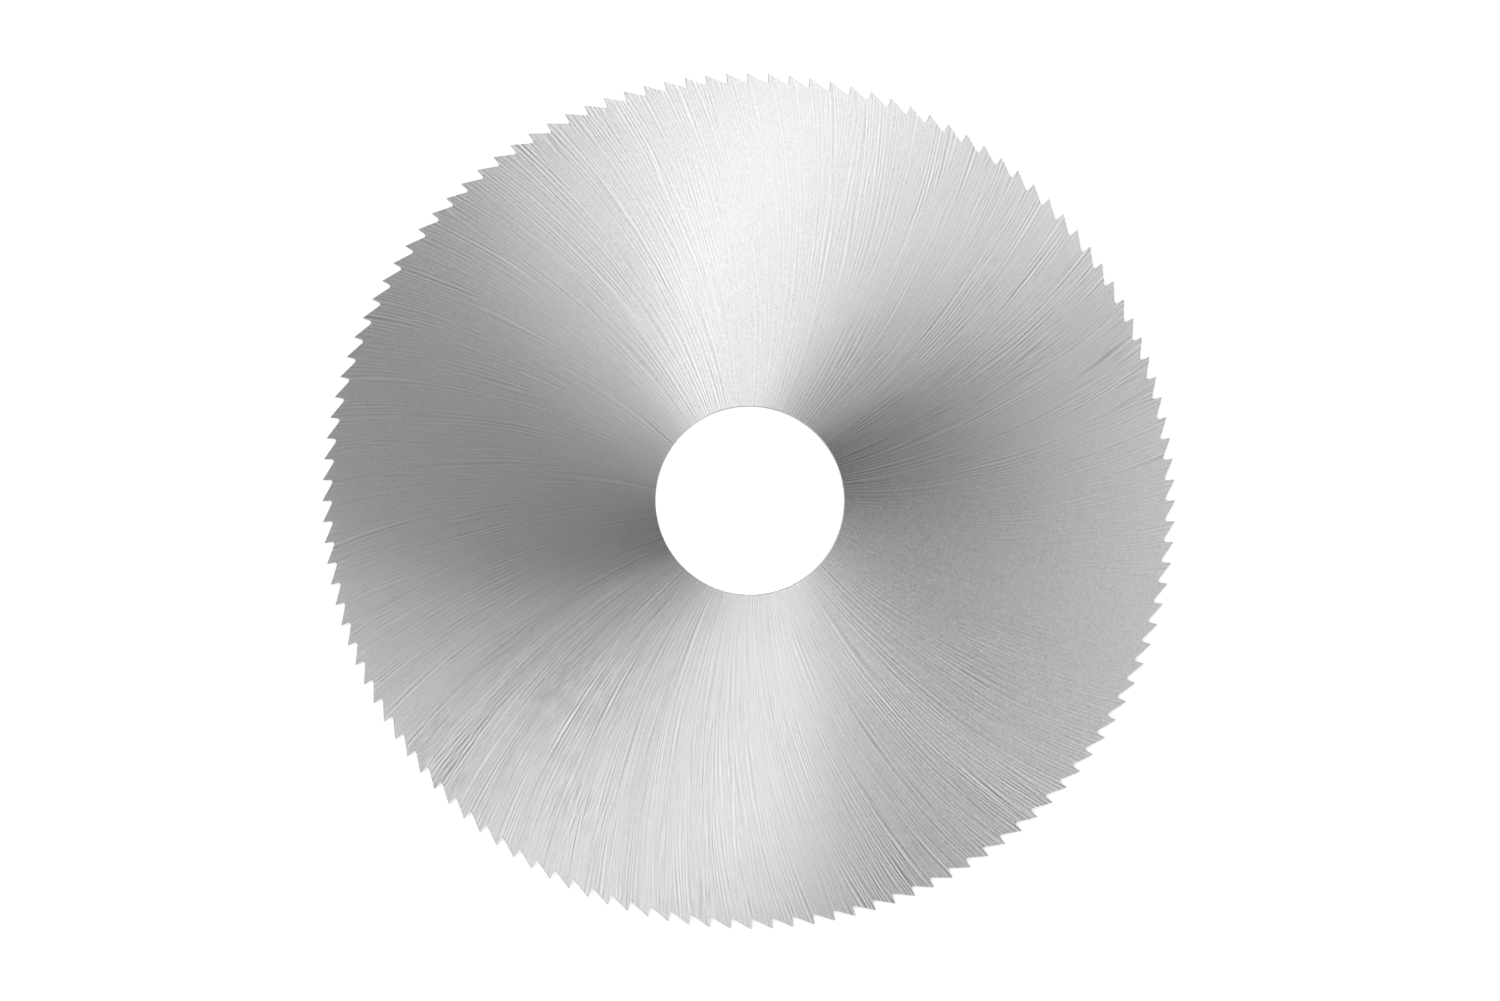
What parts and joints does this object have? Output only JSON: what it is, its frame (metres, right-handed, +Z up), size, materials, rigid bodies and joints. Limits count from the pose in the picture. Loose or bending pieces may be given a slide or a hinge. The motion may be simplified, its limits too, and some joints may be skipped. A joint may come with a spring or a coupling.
{
  "type": "slitting saw",
  "caption": "Thin ground-steel slitting saw: a flat disc with an arbor bore and fine pointed teeth round its rim.",
  "frame": {"origin": "on the bore axis, in the plane that the saw rests on, which touches the lower edge of the toothed rim", "axes": "+Z up along the bore axis; +X through the cutting edge of one tooth. Seen from +Z the cutting edges point counter-clockwise"},
  "size_m": [0.1, 0.1, 0.001],
  "materials": {
    "ground_steel": "surface-ground, with fine curved grinding scratches from the bore out to the rim"
  },
  "bodies": {
    "root": {"saw_blade": "ground_steel"}
  },
  "joints": []
}
